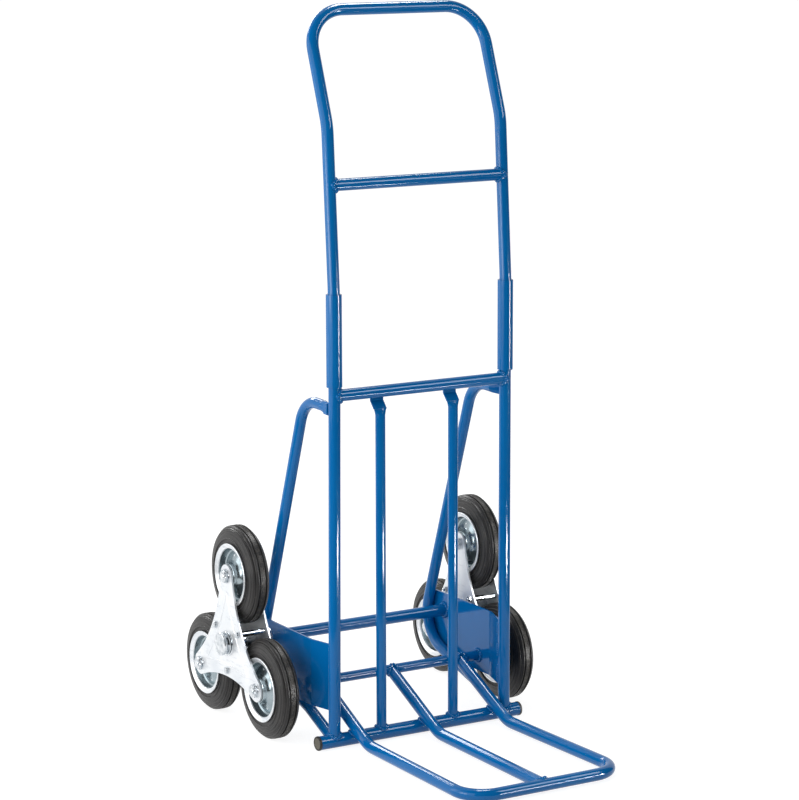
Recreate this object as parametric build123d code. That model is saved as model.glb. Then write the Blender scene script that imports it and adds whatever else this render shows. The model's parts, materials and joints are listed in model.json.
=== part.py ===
from build123d import *
import os
from math import atan2, cos, hypot, pi, radians, sin, tan

# Stair climbing trolley, in millimetres: a tube frame with a welded toe hoop, a plug-in push handle,
# and two three-wheeled climbing stars that turn on a fixed axle.
# X runs to the right, -Y to the front where the toe reaches out, +Z up. Z = 0 is the floor and
# X = 0 the middle of the stars. The numbers below count Y from the axle; SHIFT_Y then moves all
# parts so that the origin is under the middle of the whole object.

# Tubes
TUBE_R = 9.5
SLIM_R = 8.0
BRACE_R = 9.0
FOOT_R = 11.0
SOCKET_R = 12.5
WALL = 1.5

# Wheels and stars
WHEEL_R = 80.0
TYRE_HALF = 17.0
TYRE_SHOULDER = (12.5, 22.0)
TREAD_GROOVE = (5.2, 1.5, 77.6)
STAR_R = 111.0
WHEEL_X = 219.3
ARM_TIP_R = 18.5
WAIST_R = 55.0
RIM_SEAT_R = 47.0
RIM_FLANGE_R = 50.8
RIM_HALF = 19.8
HUB_TUBE_R = 13.0
AXLE_Z = WHEEL_R + STAR_R / 2
PLATE = 3.0
PLATE_GAP = 22.6
PLATE_IN = WHEEL_X - PLATE_GAP - PLATE
PLATE_OUT = WHEEL_X + PLATE_GAP + PLATE
BUSH_HALF = PLATE_GAP - 0.4
ARM_ANGLES = {"top": 90.0, "front": 210.0, "rear": 330.0}

# Upright frame
UPRIGHT_X = 156.0
UPRIGHT_FOOT_X = {"left": -160.0, "right": 156.0}
UPRIGHT_Y = -200.0
UPRIGHT_BEND_R = 500.0
FOOT_Z = 11.5
UPPER_BAR_Z = 562.0
INNER_BARS = {"left": -74.5, "right": 58.5}
TAB_WIDTH = 22.5
TAB = 3.0
TAB_BACK = TUBE_R + TAB / 2
TAB_TOP = UPPER_BAR_Z + 6.0
FLAT_START = 524.0
FLAT_END = 534.0
JOGGLE_END = 546.0
SOCKET_BOTTOM = 576.0
SOCKET_TOP = 720.0
SOCKET_FIT = 0.3
HANDLE_STOP_Z = 650.0

# Push handle
GRIP_Y = -119.5
GRIP_Z = 1147.5
HANDLE_BEND_Z = 976.0
HANDLE_BEND_Y = -183.5
HANDLE_BAR_Z = 886.0
GRIP_BEND_R = 63.0

# Side braces: slope of the long leg, then the line along the floor to the foot tube
BRACE_SLOPE = 0.354
BRACE_TOP_Z = 543.0
BRACE_LOW_Z = 89.5
BRACE_Y0 = -72.0
BRACE_Z0 = 450.0
BRACE_BEND_R = 60.0
BRACE_TOP_R = 55.0
PINCH = 4.0
PINCH_HEIGHT = 21.0

# Lower crossbar and toe
LOWER_BAR_Y = -106.5
LOWER_BAR_Z = 82.0
TOE_ANGLE = 24.6
TOE_GAP = 2.5
TOE_Z = 12.0
TOE_FRONT_Y = -557.0
TOE_REAR_X = {"left": -128.5, "right": 129.5}
TOE_FRONT_X = {"left": -130.0, "right": 139.0}
TOE_CENTRE_FRONT_X = -2.0
TOE_BEND_R = 60.0
TOE_CORNER_R = 45.0

# Gussets: the side plate, then the strip folded inwards to the upright
GUSSET_X = UPRIGHT_X + TUBE_R
GUSSET_TOP = 164.0
GUSSET_BOTTOM = 56.0
GUSSET_FOLD_Y = -141.0
GUSSET_FRONT = (149.5, -193.5)

# Axle and what holds the stars on it
AXLE_R = 10.0
AXLE_FIT = 0.05
BUSH_WALL = 2.0
HUB_R = 15.0
CAP_R = 18.5
CAP_X = 259.0
SPACER_END = PLATE_IN - 2.0
HUB_END = PLATE_OUT + 2.0
WASHER = 2.5
SIDE_PLAY = 0.3

# Foot tube and caps
FOOT_ENDS = (-188.0, 181.5)
CAP_FLANGE = 4.0
CAP_PLUG = 15.0
CAP_FIT = 0.05

# Fasteners
BOLT_R = 6.0
BOLT_AF = 19.0
BOLT_WASHER = 1.0
BOLT_NUT = 5.5
TIE_R = 3.0
TIE_AF = 10.0
TIE_CIRCLE = 45.0

SHIFT_Y = 195.2


def rod(start, end, radius):
    """Solid cylinder from start to end."""
    start, end = Vector(*start), Vector(*end)
    span = end - start
    place = Plane(origin=start, z_dir=span)
    return place * Cylinder(radius, span.length, align=(Align.CENTER, Align.CENTER, Align.MIN))


def pipe(start, end, radius, wall=WALL):
    """Straight hollow tube."""
    return rod(start, end, radius) - rod(start, end, radius - wall)


def bent_pipe(points, radii, radius, wall=WALL):
    """Hollow tube along straight runs joined by tangent bends, one radius for each corner."""
    path = FilletPolyline(*points, radius=radii)
    ring = Circle(radius) - Circle(radius - wall) if wall else Circle(radius)
    return sweep(Plane(origin=path @ 0, z_dir=path % 0) * ring, path=path)


def along_x(x0, x1, radius, y=0.0, z=0.0):
    return rod((x0, y, z), (x1, y, z), radius)


def hexagon(x0, x1, across_flats, y, z):
    """Hexagonal prism along X."""
    outline = RegularPolygon(across_flats / 2, 6, major_radius=False)
    place = Plane(origin=(x0, y, z), x_dir=(0, 1, 0), z_dir=(1, 0, 0))
    return extrude(place * outline, amount=x1 - x0)


def side_plane(x):
    """Plane at x whose own x runs along +Y and whose normal is +X."""
    return Plane(origin=(x, 0, 0), x_dir=(0, 1, 0), z_dir=(1, 0, 0))


def one_solid(shape):
    """The biggest solid of a shape, without the scraps that a cut leaves."""
    return max(shape.solids(), key=lambda s: s.volume)


def mirrored(shape):
    return mirror(shape, about=Plane.YZ)


# ---- upright frame ----

FOOT_CUT = along_x(-300, 300, FOOT_R, UPRIGHT_Y, FOOT_Z)


def upright_line(side):
    """Centre line of an upright: plumb in its socket, and from the crossbar down straight to its foot."""
    top_x = -UPRIGHT_X if side == "left" else UPRIGHT_X
    return [
        (UPRIGHT_FOOT_X[side], UPRIGHT_Y, FOOT_Z),
        (top_x, UPRIGHT_Y, UPPER_BAR_Z),
        (top_x, UPRIGHT_Y, HANDLE_STOP_Z),
    ]


def upright_tube(side, wall):
    line = upright_line(side)
    if line[0][0] == line[1][0]:
        return pipe(line[0], line[2], TUBE_R, wall) if wall else rod(line[0], line[2], TUBE_R)
    return bent_pipe(line, (UPRIGHT_BEND_R,), TUBE_R, wall)


def make_upright(side):
    return one_solid(upright_tube(side, WALL) - FOOT_CUT)


def make_socket(x):
    body = rod((x, UPRIGHT_Y, SOCKET_BOTTOM), (x, UPRIGHT_Y, SOCKET_TOP), SOCKET_R)
    body -= rod((x, UPRIGHT_Y, SOCKET_BOTTOM - 1), (x, UPRIGHT_Y, HANDLE_STOP_Z), TUBE_R)
    return body - rod((x, UPRIGHT_Y, HANDLE_STOP_Z), (x, UPRIGHT_Y, SOCKET_TOP + 1), TUBE_R + SOCKET_FIT)




def make_upper_crossbar():
    bar = pipe((-UPRIGHT_X, UPRIGHT_Y, UPPER_BAR_Z), (UPRIGHT_X, UPRIGHT_Y, UPPER_BAR_Z), TUBE_R)
    return one_solid(bar - upright_tube("left", 0) - upright_tube("right", 0))


def make_foot_tube():
    return pipe((FOOT_ENDS[0], UPRIGHT_Y, FOOT_Z), (FOOT_ENDS[1], UPRIGHT_Y, FOOT_Z), FOOT_R)


def make_foot_caps():
    caps = []
    for end, out in zip(FOOT_ENDS, (-1, 1)):
        flange = along_x(end, end + out * CAP_FLANGE, FOOT_Z, UPRIGHT_Y, FOOT_Z)
        rim = flange.edges().filter_by(GeomType.CIRCLE).sort_by(Axis.X)[0 if out < 0 else -1]
        flange = fillet(rim, 1.5)
        plug = along_x(end, end - out * CAP_PLUG, FOOT_R - WALL - CAP_FIT, UPRIGHT_Y, FOOT_Z)
        caps.append(one_solid(flange + plug))
    return Compound(children=caps)


def make_inner_bar(x):
    """Round bar whose top is flattened and set back to lap the rear of the upper crossbar."""
    tube = pipe((x, UPRIGHT_Y, FOOT_Z), (x, UPRIGHT_Y, FLAT_START), SLIM_R)
    tube = one_solid(tube - FOOT_CUT)
    round_end = Plane(origin=(x, UPRIGHT_Y, FLAT_START)) * Circle(SLIM_R)
    flat_end = Plane(origin=(x, UPRIGHT_Y, FLAT_END)) * Ellipse(TAB_WIDTH / 2, TAB / 2)
    squeeze = loft([round_end, flat_end])
    line = [
        (UPRIGHT_Y, FLAT_END),
        (UPRIGHT_Y + TAB_BACK, JOGGLE_END),
        (UPRIGHT_Y + TAB_BACK, TAB_TOP),
    ]
    half = TAB / 2
    front = [(y - half, z) for y, z in line]
    rear = [(y + half, z) for y, z in reversed(line)]
    strip = side_plane(x) * make_face(Polyline(*front, *rear, close=True))
    tab = extrude(strip, amount=TAB_WIDTH / 2, both=True)
    tab -= along_x(-300, 300, TUBE_R, UPRIGHT_Y, UPPER_BAR_Z)
    return one_solid(tube + squeeze + tab)


# ---- axle, gussets, braces ----


def brace_line():
    """Corners of a side brace's centre line in (y, z), from the upright's rear down to the foot tube."""
    def leg(z):
        return BRACE_Y0 - BRACE_SLOPE * (z - BRACE_Z0)

    return [
        (-166.0, BRACE_TOP_Z - 1.5),
        (leg(BRACE_TOP_Z), BRACE_TOP_Z),
        (leg(BRACE_LOW_Z), BRACE_LOW_Z),
        (-112.0, 42.5),
        (-190.0, 9.8),
    ]


def bend_points(before, corner, after, radius):
    """Start, middle and end of the tangent arc of a given radius at a corner."""
    def unit(a, b):
        length = hypot(b[0] - a[0], b[1] - a[1])
        return ((b[0] - a[0]) / length, (b[1] - a[1]) / length)

    back, ahead = unit(corner, before), unit(corner, after)
    turn = pi - abs(atan2(back[0] * ahead[1] - back[1] * ahead[0], back[0] * ahead[0] + back[1] * ahead[1]))
    reach = radius * tan(turn / 2)
    inward = (back[0] + ahead[0], back[1] + ahead[1])
    size = hypot(*inward)
    depth = radius / cos(turn / 2) - radius
    start = (corner[0] + back[0] * reach, corner[1] + back[1] * reach)
    middle = (corner[0] + inward[0] / size * depth, corner[1] + inward[1] / size * depth)
    end = (corner[0] + ahead[0] * reach, corner[1] + ahead[1] * reach)
    return start, middle, end


def make_brace(side):
    """Side brace: a bent tube whose top end is pinched flat against the upright's rear."""
    x = -UPRIGHT_X if side == "left" else UPRIGHT_X
    corners = brace_line()
    points = [(x, y, z) for y, z in corners]
    tube = bent_pipe(points, (BRACE_TOP_R, BRACE_BEND_R, BRACE_BEND_R), BRACE_R)
    tube = one_solid(tube - FOOT_CUT)
    out = 1 if x > 0 else -1
    y, z = corners[0]
    fall = (corners[1][1] - z) / (corners[1][0] - y)
    away = Vector(0, -1, -fall).normalized()
    start = Vector(x, y, z)
    flat_at = start + away * 12 + Vector(out * (BRACE_R - PINCH / 2) * 0.8, 0, 0)

    def across(origin):
        return Plane(origin=origin, x_dir=(1, 0, 0), z_dir=away)

    squeeze = loft([
        across(start) * Circle(BRACE_R),
        across(flat_at) * Ellipse(PINCH / 2, PINCH_HEIGHT / 2),
    ])
    flat = extrude(across(flat_at) * RectangleRounded(PINCH, PINCH_HEIGHT, PINCH / 2 - 0.1), amount=20)
    shape = tube + squeeze + flat
    return one_solid(shape - upright_tube(side, 0))


def make_gusset(side):
    """Side plate from the brace's bend to the upright, folded inwards along its front."""
    corners = brace_line()
    start, middle, end = bend_points(corners[1], corners[2], corners[3], BRACE_BEND_R)
    top_y = BRACE_Y0 - BRACE_SLOPE * (GUSSET_TOP - BRACE_Z0)
    run = (corners[3][1] - end[1]) / (corners[3][0] - end[0])
    low_y = end[0] + (GUSSET_BOTTOM - end[1]) / run
    rear = [
        Line((GUSSET_FOLD_Y, GUSSET_TOP), (top_y, GUSSET_TOP)),
        Line((top_y, GUSSET_TOP), start),
        ThreePointArc(start, middle, end),
        Line(end, (low_y, GUSSET_BOTTOM)),
        Line((low_y, GUSSET_BOTTOM), (GUSSET_FOLD_Y, GUSSET_BOTTOM)),
        Line((GUSSET_FOLD_Y, GUSSET_BOTTOM), (GUSSET_FOLD_Y, GUSSET_TOP)),
    ]
    plate = extrude(side_plane(GUSSET_X) * make_face(rear), amount=PLATE)
    plate -= along_x(0, 300, AXLE_R, 0, AXLE_Z)
    lean = (UPPER_BAR_Z - GUSSET_TOP) / (UPPER_BAR_Z - FOOT_Z) * (abs(UPRIGHT_FOOT_X[side]) - UPRIGHT_X)
    front_x, front_y = GUSSET_FRONT[0] + lean, GUSSET_FRONT[1]
    strip = Polyline(
        (GUSSET_X, GUSSET_FOLD_Y),
        (GUSSET_X + PLATE, GUSSET_FOLD_Y),
        (front_x + PLATE, front_y),
        (front_x, front_y),
        close=True,
    )
    fold = extrude(Plane.XY.offset(GUSSET_BOTTOM) * make_face(strip), amount=GUSSET_TOP - GUSSET_BOTTOM)
    shape = plate + fold
    return one_solid((shape if side == "right" else mirrored(shape)) - upright_tube(side, 0))


def make_lower_crossbar():
    return pipe((-GUSSET_X, LOWER_BAR_Y, LOWER_BAR_Z), (GUSSET_X, LOWER_BAR_Y, LOWER_BAR_Z), SLIM_R)


def make_axle():
    return along_x(-CAP_X + 5, CAP_X - 5, AXLE_R, 0, AXLE_Z)


def make_axle_spacers():
    parts = []
    for out in (-1, 1):
        x0, x1 = out * (GUSSET_X + PLATE), out * (SPACER_END - SIDE_PLAY)
        parts.append(along_x(x0, x1, 14, 0, AXLE_Z) - along_x(x0, x1, AXLE_R, 0, AXLE_Z))
    return Compound(children=[one_solid(p) for p in parts])


def make_axle_washers():
    parts = []
    for out in (-1, 1):
        x0 = out * (HUB_END + SIDE_PLAY)
        x1 = x0 + out * WASHER
        parts.append(along_x(x0, x1, 19, 0, AXLE_Z) - along_x(x0, x1, AXLE_R, 0, AXLE_Z))
    return Compound(children=[one_solid(p) for p in parts])


def make_axle_caps():
    """Domed caps pushed onto the axle's ends."""
    parts = []
    for out in (-1, 1):
        x0 = out * (HUB_END + SIDE_PLAY + WASHER)
        cap = along_x(x0, out * CAP_X, CAP_R, 0, AXLE_Z)
        rim = cap.edges().filter_by(GeomType.CIRCLE).sort_by(Axis.X)[0 if out < 0 else -1]
        cap = fillet(rim, 3.5)
        cap -= along_x(x0, out * (CAP_X - 5), AXLE_R, 0, AXLE_Z)
        parts.append(one_solid(cap))
    return Compound(children=parts)


# ---- toe ----


def toe_vertex_y():
    """Where the toe's slope meets its flat run, so that the slope passes just over the foot tube."""
    rise = (FOOT_R + TUBE_R + TOE_GAP) / cos(radians(TOE_ANGLE)) + FOOT_Z - TOE_Z
    return UPRIGHT_Y - rise / tan(radians(TOE_ANGLE))


def toe_top():
    """Upper end of a toe slope, inside the lower crossbar that cuts it to fit."""
    y = LOWER_BAR_Y
    return y, TOE_Z + (y - toe_vertex_y()) * tan(radians(TOE_ANGLE))


LOWER_BAR_CUT = along_x(-300, 300, SLIM_R, LOWER_BAR_Y, LOWER_BAR_Z)


def make_toe_hoop():
    bend_y, (top_y, top_z) = toe_vertex_y(), toe_top()
    left, right = TOE_REAR_X["left"], TOE_REAR_X["right"]
    points = [
        (left, top_y, top_z),
        (left, bend_y, TOE_Z),
        (TOE_FRONT_X["left"], TOE_FRONT_Y, TOE_Z),
        (TOE_FRONT_X["right"], TOE_FRONT_Y, TOE_Z),
        (right, bend_y, TOE_Z),
        (right, top_y, top_z),
    ]
    radii = (TOE_BEND_R, TOE_CORNER_R, TOE_CORNER_R, TOE_BEND_R)
    return one_solid(bent_pipe(points, radii, TUBE_R) - LOWER_BAR_CUT)


def make_toe_centre_bar():
    bend_y, (top_y, top_z) = toe_vertex_y(), toe_top()
    points = [(0, top_y, top_z), (0, bend_y, TOE_Z), (TOE_CENTRE_FRONT_X, TOE_FRONT_Y, TOE_Z)]
    bar = bent_pipe(points, (TOE_BEND_R,), TUBE_R)
    bar -= rod((-100, TOE_FRONT_Y, TOE_Z), (100, TOE_FRONT_Y, TOE_Z), TUBE_R)
    return one_solid(bar - LOWER_BAR_CUT)


# ---- handle ----


def make_handle_hoop():
    stop = HANDLE_STOP_Z + 0.05
    side = [
        (UPRIGHT_Y, stop),
        (UPRIGHT_Y, SOCKET_TOP + 6),
        (HANDLE_BEND_Y, HANDLE_BEND_Z),
        (GRIP_Y, GRIP_Z),
    ]
    points = [(-UPRIGHT_X, y, z) for y, z in side] + [(UPRIGHT_X, y, z) for y, z in reversed(side)]
    return bent_pipe(points, (120, 100, GRIP_BEND_R, GRIP_BEND_R, 100, 120), TUBE_R)


def handle_leg_y(z):
    share = (z - SOCKET_TOP - 6) / (HANDLE_BEND_Z - SOCKET_TOP - 6)
    return UPRIGHT_Y + share * (HANDLE_BEND_Y - UPRIGHT_Y)


def make_handle_crossbar():
    y = handle_leg_y(HANDLE_BAR_Z)
    bar = pipe((-UPRIGHT_X, y, HANDLE_BAR_Z), (UPRIGHT_X, y, HANDLE_BAR_Z), TUBE_R)
    for x in (-UPRIGHT_X, UPRIGHT_X):
        leg = rod((x, UPRIGHT_Y, SOCKET_TOP + 6), (x, HANDLE_BEND_Y, HANDLE_BEND_Z), TUBE_R)
        bar -= leg
    return one_solid(bar)


# ---- stars ----

def on_circle(radius, angle):
    """(y, z) on a circle about the axle."""
    return radius * cos(radians(angle)), AXLE_Z + radius * sin(radians(angle))


def star_outline():
    """Three rounded arm tips joined by hollow arcs that are tangent to them."""
    far = (STAR_R**2 - (WAIST_R - ARM_TIP_R) ** 2) / (STAR_R - 2 * (WAIST_R - ARM_TIP_R))
    edges = []
    for angle in (90, 210, 330):
        tip = on_circle(STAR_R, angle)
        ends = []
        for side in (-60, 60):
            centre = on_circle(far, angle + side)
            gap = hypot(centre[0] - tip[0], centre[1] - tip[1])
            ends.append(tuple(t + (c - t) * ARM_TIP_R / gap for t, c in zip(tip, centre)))
        edges.append((ends[0], on_circle(STAR_R + ARM_TIP_R, angle), ends[1]))
    arcs = [ThreePointArc(*edge) for edge in edges]
    for here, following, angle in zip(edges, edges[1:] + edges[:1], (150, 270, 30)):
        arcs.append(ThreePointArc(here[2], on_circle(WAIST_R, angle), following[0]))
    return make_face(arcs)


def make_star_plate(x0):
    plate = extrude(side_plane(x0) * star_outline(), amount=PLATE)
    plate -= along_x(x0 - 1, x0 + PLATE + 1, HUB_R, 0, AXLE_Z)
    for angle in (90, 210, 330):
        y, z = on_circle(STAR_R, angle)
        plate -= along_x(x0 - 1, x0 + PLATE + 1, BOLT_R + 0.2, y, z)
        y, z = on_circle(TIE_CIRCLE, angle + 60)
        plate -= along_x(x0 - 1, x0 + PLATE + 1, TIE_R + 0.2, y, z)
    return one_solid(plate)


def make_star_hub():
    hub = along_x(SPACER_END, HUB_END, HUB_R, 0, AXLE_Z)
    return one_solid(hub - along_x(0, 300, AXLE_R + BUSH_WALL, 0, AXLE_Z))


def make_star_bush():
    bush = along_x(SPACER_END, HUB_END, AXLE_R + BUSH_WALL, 0, AXLE_Z)
    return one_solid(bush - along_x(0, 300, AXLE_R + AXLE_FIT, 0, AXLE_Z))


def make_wheel_bolts():
    parts = []
    for angle in (90, 210, 330):
        y, z = on_circle(STAR_R, angle)
        shank = along_x(PLATE_IN, PLATE_OUT + BOLT_WASHER + BOLT_NUT + 1.5, BOLT_R, y, z)
        parts.append(one_solid(hexagon(PLATE_IN - 7.5, PLATE_IN, BOLT_AF, y, z) + shank))
    return Compound(children=parts)


def make_wheel_nuts():
    parts = []
    for angle in (90, 210, 330):
        y, z = on_circle(STAR_R, angle)
        nut_x = PLATE_OUT + BOLT_WASHER
        washer = along_x(PLATE_OUT, nut_x, 12.0, y, z)
        nut = washer + hexagon(nut_x, nut_x + BOLT_NUT, BOLT_AF, y, z)
        parts.append(one_solid(nut - along_x(0, 300, BOLT_R, y, z)))
    return Compound(children=parts)


def make_tie_bolts():
    parts = []
    for angle in (30, 150, 270):
        y, z = on_circle(TIE_CIRCLE, angle)
        shank = along_x(PLATE_IN - 7.0, PLATE_OUT, TIE_R, y, z)
        parts.append(one_solid(hexagon(PLATE_OUT, PLATE_OUT + 4.0, TIE_AF, y, z) + shank))
    return Compound(children=parts)


def make_tie_spacers():
    parts = []
    for angle in (30, 150, 270):
        y, z = on_circle(TIE_CIRCLE, angle)
        x0, x1 = PLATE_IN + PLATE, PLATE_OUT - PLATE
        parts.append(one_solid(along_x(x0, x1, 5.0, y, z) - along_x(x0, x1, TIE_R, y, z)))
    return Compound(children=parts)


def make_tie_nuts():
    parts = []
    for angle in (30, 150, 270):
        y, z = on_circle(TIE_CIRCLE, angle)
        nut = hexagon(PLATE_IN - 5.0, PLATE_IN, TIE_AF, y, z)
        parts.append(one_solid(nut - along_x(0, 300, TIE_R, y, z)))
    return Compound(children=parts)


# ---- wheels, drawn about X = 0 with the axis on the X axis ----

def turned(points):
    """Solid of revolution about X from a closed (x, r) outline."""
    face = make_face(Polyline(*points, close=True))
    return revolve(face, Axis.X)


def make_tyre():
    wide, high = TYRE_SHOULDER
    shoulder = []
    for angle in (0, 15, 30, 45, 60, 75, 90):
        x = TYRE_HALF - wide + wide * sin(radians(angle))
        shoulder.append((x, WHEEL_R - high + high * cos(radians(angle))))
    bead = [(TYRE_HALF - 0.5, RIM_FLANGE_R + 1), (14.0, RIM_FLANGE_R - 2), (11.5, RIM_SEAT_R)]
    right = shoulder + bead
    left = [(-x, r) for x, r in reversed(right)]
    tyre = turned(right + left)
    middle, half_width, floor_r = TREAD_GROOVE
    for out in (-1, 1):
        x0, x1 = out * (middle - half_width), out * (middle + half_width)
        tyre -= turned([(x0, floor_r), (x1, floor_r), (x1, WHEEL_R + 1), (x0, WHEEL_R + 1)])
    return one_solid(tyre)


def make_rim():
    """Two pressed dishes back to back, with a flange that holds the tyre."""
    right = [
        (0.0, RIM_SEAT_R), (11.5, RIM_SEAT_R), (14.0, RIM_FLANGE_R - 2), (TYRE_HALF - 0.5, RIM_FLANGE_R + 1),
        (RIM_HALF - 1.0, RIM_FLANGE_R + 0.6), (RIM_HALF, RIM_FLANGE_R - 0.4), (17.0, RIM_FLANGE_R - 3.4),
        (15.0, RIM_SEAT_R - 2.5), (6.0, 41.0), (4.0, 34.0), (12.0, 22.0), (21.5, 19.0),
        (21.5, HUB_TUBE_R),
    ]
    left = [(-x, r) for x, r in reversed(right[1:])]
    return turned(right + left)


def make_hub_tube():
    tube = rod((-BUSH_HALF, 0, 0), (BUSH_HALF, 0, 0), HUB_TUBE_R)
    return one_solid(tube - rod((-50, 0, 0), (50, 0, 0), BOLT_R + AXLE_FIT))


def build_all():
    parts = {}
    for side, out in (("left", -1), ("right", 1)):
        x = out * UPRIGHT_X
        parts[f"upright_{side}"] = make_upright(side)
        parts[f"handle_socket_{side}"] = make_socket(x)
        parts[f"inner_bar_{side}"] = make_inner_bar(INNER_BARS[side])
        parts[f"side_brace_{side}"] = make_brace(side)
        parts[f"gusset_{side}"] = make_gusset(side)
    parts["upper_crossbar"] = make_upper_crossbar()
    parts["lower_crossbar"] = make_lower_crossbar()
    parts["foot_tube"] = make_foot_tube()
    parts["foot_caps"] = make_foot_caps()
    parts["axle_shaft"] = make_axle()
    parts["axle_spacers"] = make_axle_spacers()
    parts["axle_washers"] = make_axle_washers()
    parts["axle_caps"] = make_axle_caps()
    parts["toe_hoop"] = make_toe_hoop()
    parts["toe_centre_bar"] = make_toe_centre_bar()
    parts["handle_hoop"] = make_handle_hoop()
    parts["handle_crossbar"] = make_handle_crossbar()

    star = {
        "star_plate_inner": make_star_plate(PLATE_IN),
        "star_plate_outer": make_star_plate(PLATE_OUT - PLATE),
        "star_hub": make_star_hub(),
        "star_bush": make_star_bush(),
        "wheel_bolts": make_wheel_bolts(),
        "wheel_nuts": make_wheel_nuts(),
        "tie_bolts": make_tie_bolts(),
        "tie_spacers": make_tie_spacers(),
        "tie_nuts": make_tie_nuts(),
    }
    wheel = {"tyre": make_tyre(), "rim": make_rim(), "wheel_bush": make_hub_tube()}
    for name, shape in star.items():
        parts[f"{name}_right"] = shape
        parts[f"{name}_left"] = mirrored(shape)
    for arm, angle in ARM_ANGLES.items():
        y, z = on_circle(STAR_R, angle)
        for name, shape in wheel.items():
            for side, out in (("left", -1), ("right", 1)):
                parts[f"{name}_{side}_{arm}"] = Pos(out * WHEEL_X, y, z) * shape
    return parts


os.makedirs("parts", exist_ok=True)
for node, shape in build_all().items():
    export_step(Pos(0, SHIFT_Y, 0) * shape, f"parts/{node}.step")
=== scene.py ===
"""Stair climbing trolley: paint, plating and rubber, weld beads, tyre treads, rims and small hardware."""

import json
from math import cos, pi, radians, sin, sqrt

import bmesh
import bpy
from mathutils import Matrix, Vector


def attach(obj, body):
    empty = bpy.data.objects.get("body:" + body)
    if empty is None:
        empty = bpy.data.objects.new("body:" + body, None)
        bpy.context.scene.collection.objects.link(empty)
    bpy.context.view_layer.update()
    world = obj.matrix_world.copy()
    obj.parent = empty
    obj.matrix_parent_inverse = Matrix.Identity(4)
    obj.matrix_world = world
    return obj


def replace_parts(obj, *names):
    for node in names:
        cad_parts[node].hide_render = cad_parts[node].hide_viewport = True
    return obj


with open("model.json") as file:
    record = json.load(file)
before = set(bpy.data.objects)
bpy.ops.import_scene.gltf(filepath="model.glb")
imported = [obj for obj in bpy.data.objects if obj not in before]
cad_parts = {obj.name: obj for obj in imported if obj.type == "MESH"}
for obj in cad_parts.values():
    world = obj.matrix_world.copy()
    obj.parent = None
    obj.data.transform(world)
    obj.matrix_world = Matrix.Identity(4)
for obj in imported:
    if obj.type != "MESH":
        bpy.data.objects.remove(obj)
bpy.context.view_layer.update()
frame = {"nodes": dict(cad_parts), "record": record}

# Sizes in metres, in the frame of the solid model. SHIFT is the axle's Y, and tubes are given by radius.
SHIFT = 0.1952
TUBE, SLIM, FOOT, BRACE = 0.0095, 0.008, 0.011, 0.009
AXLE_Z, STAR_R, WHEEL_X = 0.1355, 0.111, 0.2193
PLATE_IN, PLATE_OUT = 0.1937, 0.2449
GUSSET_FACE, AXLE_BEAD_R = 0.1652, 0.0108
FOOT_Z, FOOT_ENDS = 0.0115, (-0.188, 0.1815)
UPPER_BAR_Z = 0.562
UPRIGHT_Y = SHIFT - 0.200
UPRIGHTS = {"left": (-0.156, -0.160), "right": (0.156, 0.156)}
SIDES = {"left": -1, "right": 1}
ARMS = {"top": 90, "front": 210, "rear": 330}

# Places of welds in millimetres, with Y counted from the axle
INNER_BARS = {"left": -74.5, "right": 58.5}
TOE_BARS = (-128.5, 0, 129.5)
TOE_ANGLE, TOE_TIP = radians(24.6), (-557, 12)
LOWER_BAR = (-106.5, 82)
GUSSET_FOLD = (148.5, -194)
GUSSET_STITCHES = ((62, 92), (104, 128), (140, 162))
BRACE_FOOT, BRACE_RUN = (156, -190, 9.8), (0, 78, 32.7)
BRACE_TOP_EDGES = ((164.5, -191.5), (158.5, -190.0))
BRACE_TOP_RISE = (532, 552)
BAR_TOP_SEAM = (-192.5, 555.0)


# ---- node graphs ----


class Wire:
    """A socket of a node graph that can be used in sums like a number."""

    def __init__(self, graph, socket):
        self.graph = graph
        self.socket = socket

    def math(self, operation, *others):
        values = dict(enumerate((self,) + others))
        return self.graph.add("ShaderNodeMath", {"operation": operation}, values)

    def __add__(self, other):
        return self.math("ADD", other)

    __radd__ = __add__

    def __sub__(self, other):
        return self.math("SUBTRACT", other)

    def __rsub__(self, other):
        return self.graph.add("ShaderNodeMath", {"operation": "SUBTRACT"}, {0: other, 1: self})

    def __mul__(self, other):
        return self.math("MULTIPLY", other)

    def __truediv__(self, other):
        return self.math("DIVIDE", other)

    def out(self, name):
        return Wire(self.graph, self.socket.node.outputs[name])


class Graph:
    """Adds nodes to a shader or geometry tree."""

    def __init__(self, tree):
        self.tree = tree

    def add(self, kind, settings=None, values=None, out=0):
        node = self.tree.nodes.new(kind)
        for name, value in (settings or {}).items():
            setattr(node, name, value)
        for name, value in (values or {}).items():
            self.feed(node.inputs[name], value)
        return Wire(self, node.outputs[out]) if node.outputs else node

    def feed(self, socket, value):
        if isinstance(value, Wire):
            self.tree.links.new(value.socket, socket)
        else:
            socket.default_value = value

    def mix(self, factor, first, second):
        """Blend of two colours."""
        values = {0: factor, 6: first, 7: second}
        return self.add("ShaderNodeMix", {"data_type": "RGBA"}, values, out=2)

    def noise(self, place, scale, detail, roughness=0.5):
        values = {"Vector": place, "Scale": scale, "Detail": detail, "Roughness": roughness}
        return self.add("ShaderNodeTexNoise", None, values)

    def between(self, value, low, high):
        """Value taken from 0 to 1 as it goes from low to high."""
        return self.add("ShaderNodeMapRange", None, {0: value, 1: low, 2: high, 3: 0.0, 4: 1.0})


# ---- finishes ----


def colour(red, green, blue):
    """Linear colour from 8-bit display values."""
    def straight(c):
        c = c / 255
        return c / 12.92 if c <= 0.04045 else ((c + 0.055) / 1.055) ** 2.4

    return (straight(red), straight(green), straight(blue), 1.0)


def new_finish(name):
    """Empty material and the graph of its nodes."""
    material = bpy.data.materials.new(name)
    material.use_nodes = True
    material.node_tree.nodes.clear()
    return material, Graph(material.node_tree)


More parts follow.
